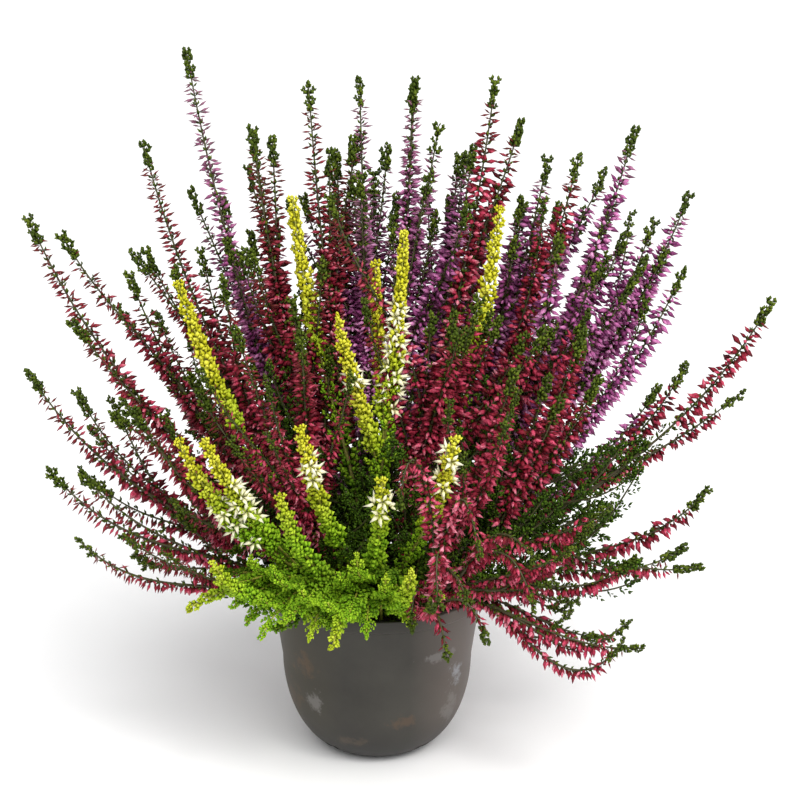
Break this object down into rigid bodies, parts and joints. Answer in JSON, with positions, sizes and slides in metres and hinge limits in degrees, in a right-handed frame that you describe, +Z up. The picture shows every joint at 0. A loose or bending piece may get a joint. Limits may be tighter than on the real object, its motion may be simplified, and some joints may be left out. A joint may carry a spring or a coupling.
{
  "type": "potted heather",
  "caption": "Heather in a small round nursery pot: a dome of upright and arching stems with spikes of crimson and magenta buds and lime foliage, rooted in potting mix.",
  "frame": {"origin": "the middle of the pot's flat underside, on the surface that it stands on", "axes": "+Z up, +X to the right and +Y away, as seen from the front, where the lime plant stands"},
  "size_m": [0.3578, 0.298, 0.3459],
  "materials": {
    "pot": "satin dark grey thin plastic, scuffed and soil stained",
    "potting_mix": "damp dark crumbly potting mix",
    "crimson_heather": "crimson closed buds on olive stems with dark green leafy tips",
    "magenta_heather": "magenta and lilac closed buds on olive stems with dark green leafy tips",
    "lime_heather": "lime yellow scale leaves, feathery green lower shoots and cream star flowers"
  },
  "bodies": {
    "root": {"crimson_drooping_stem_01": "crimson_heather", "crimson_drooping_stem_02": "crimson_heather", "crimson_stem_01": "crimson_heather", "crimson_stem_02": "crimson_heather", "crimson_stem_03": "crimson_heather", "crimson_stem_04": "crimson_heather", "crimson_stem_05": "crimson_heather", "crimson_stem_06": "crimson_heather", "crimson_stem_07": "crimson_heather", "crimson_stem_08": "crimson_heather", "crimson_stem_09": "crimson_heather", "crimson_stem_10": "crimson_heather", "crimson_stem_11": "crimson_heather", "crimson_stem_12": "crimson_heather", "crimson_stem_13": "crimson_heather", "crimson_stem_14": "crimson_heather", "crimson_stem_15": "crimson_heather", "crimson_stem_16": "crimson_heather", "crimson_stem_17": "crimson_heather", "crimson_stem_18": "crimson_heather", "crimson_stem_19": "crimson_heather", "crimson_stem_20": "crimson_heather", "crimson_stem_21": "crimson_heather", "crimson_stem_22": "crimson_heather", "crimson_stem_23": "crimson_heather", "crimson_stem_24": "crimson_heather", "crimson_stem_25": "crimson_heather", "crimson_stem_26": "crimson_heather", "crimson_stem_27": "crimson_heather", "lime_frond_stem_01": "lime_heather", "lime_frond_stem_02": "lime_heather", "lime_stem_01": "lime_heather", "lime_stem_02": "lime_heather", "lime_stem_03": "lime_heather", "lime_stem_04": "lime_heather", "lime_stem_05": "lime_heather", "lime_stem_06": "lime_heather", "lime_stem_07": "lime_heather", "lime_stem_08": "lime_heather", "lime_stem_09": "lime_heather", "lime_stem_10": "lime_heather", "lime_stem_11": "lime_heather", "magenta_stem_01": "magenta_heather", "magenta_stem_02": "magenta_heather", "magenta_stem_03": "magenta_heather", "magenta_stem_04": "magenta_heather", "magenta_stem_05": "magenta_heather", "magenta_stem_06": "magenta_heather", "magenta_stem_07": "magenta_heather", "magenta_stem_08": "magenta_heather", "magenta_stem_09": "magenta_heather", "magenta_stem_10": "magenta_heather", "magenta_stem_11": "magenta_heather", "magenta_stem_12": "magenta_heather", "magenta_stem_13": "magenta_heather", "magenta_stem_14": "magenta_heather", "magenta_stem_15": "magenta_heather", "magenta_stem_16": "magenta_heather", "pot": "pot", "soil": "potting_mix"}
  },
  "joints": []
}
